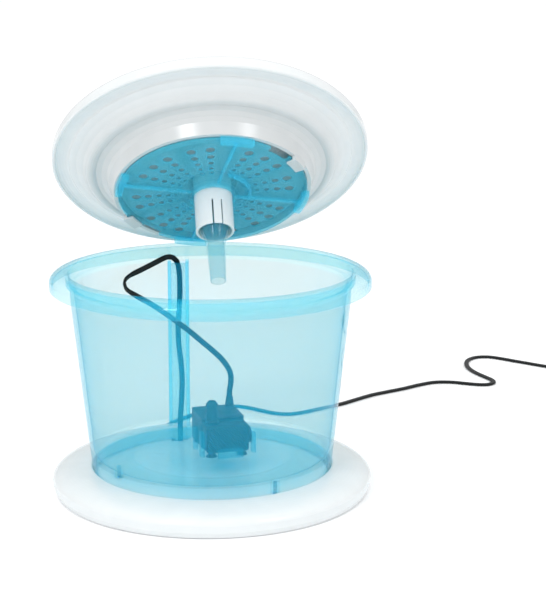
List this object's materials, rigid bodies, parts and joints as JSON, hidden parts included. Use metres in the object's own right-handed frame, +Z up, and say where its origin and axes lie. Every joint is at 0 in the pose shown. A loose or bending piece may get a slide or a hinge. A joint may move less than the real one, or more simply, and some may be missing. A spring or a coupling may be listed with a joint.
{
  "type": "pet water fountain",
  "caption": "Round pet water fountain: clear tank on a domed base, pump with a flat cord, and a tipping dish lid with riser tube, filter pad and twist-off perforated cover.",
  "frame": {"origin": "middle of the base on the table", "axes": "+Z up, -Y towards the front, +X to the right; the lid is tipped up at its front about the back of the rim"},
  "size_m": [0.5499, 0.573, 0.346],
  "materials": {
    "white_plastic": "glossy moulded",
    "clear_blue_tank": "clear tinted, polished",
    "clear_blue": "clear tinted, polished",
    "pump_plastic": "satin moulded",
    "cord_black": "satin",
    "rubber": "matt",
    "steel": "plated",
    "ceramic": "ground",
    "magnet": "ground",
    "filter_foam": "fibrous"
  },
  "bodies": {
    "fountain": {"base_ring": "white_plastic", "base_feet": "rubber", "base_screws": "steel", "tank": "clear_blue_tank", "pump_body": "pump_plastic", "pump_front_cover": "pump_plastic", "pump_outlet": "pump_plastic", "pump_gasket": "rubber", "pump_feet": "rubber", "impeller_shaft": "ceramic", "impeller_bushes": "rubber", "cord_gland": "rubber", "cord_inner": "cord_black", "cord_grommet": "rubber", "cord_outer": "cord_black", "cord_coil": "cord_black", "cord_tail": "cord_black", "coil_tie": "rubber", "plug_grip": "cord_black", "plug_shell": "steel"},
    "impeller": {"impeller": "white_plastic", "rotor_magnet": "magnet"},
    "dial": {"flow_dial": "pump_plastic"},
    "lid": {"lid_dish": "white_plastic", "riser_collar": "white_plastic", "riser_tube": "clear_blue", "filter_pad": "filter_foam"},
    "cover": {"filter_cover": "clear_blue"}
  },
  "joints": [
    {"name": "lid_lift", "type": "hinge", "parent": "fountain", "child": "lid", "pos_m": [0, 0.1234, 0.172], "axis": [0.9978, 0.0567, -0.0333], "range_deg": [0, 41.2]},
    {"name": "cover_twist", "type": "hinge", "parent": "lid", "child": "cover", "pos_m": [0.00073, 0.03407, 0.2573], "axis": [-0.0456, 0.6568, 0.7527], "range_deg": [0, 16]},
    {"name": "impeller_spin", "type": "hinge", "parent": "fountain", "child": "impeller", "pos_m": [0.00995, 0.00248, 0.0405], "axis": [-0.2419, 0.9703, 0], "continuous": true},
    {"name": "dial_turn", "type": "hinge", "parent": "fountain", "child": "dial", "pos_m": [0.02814, 0.00289, 0.0415], "axis": [0.9703, 0.2419, 0], "range_deg": [0, 90]}
  ]
}
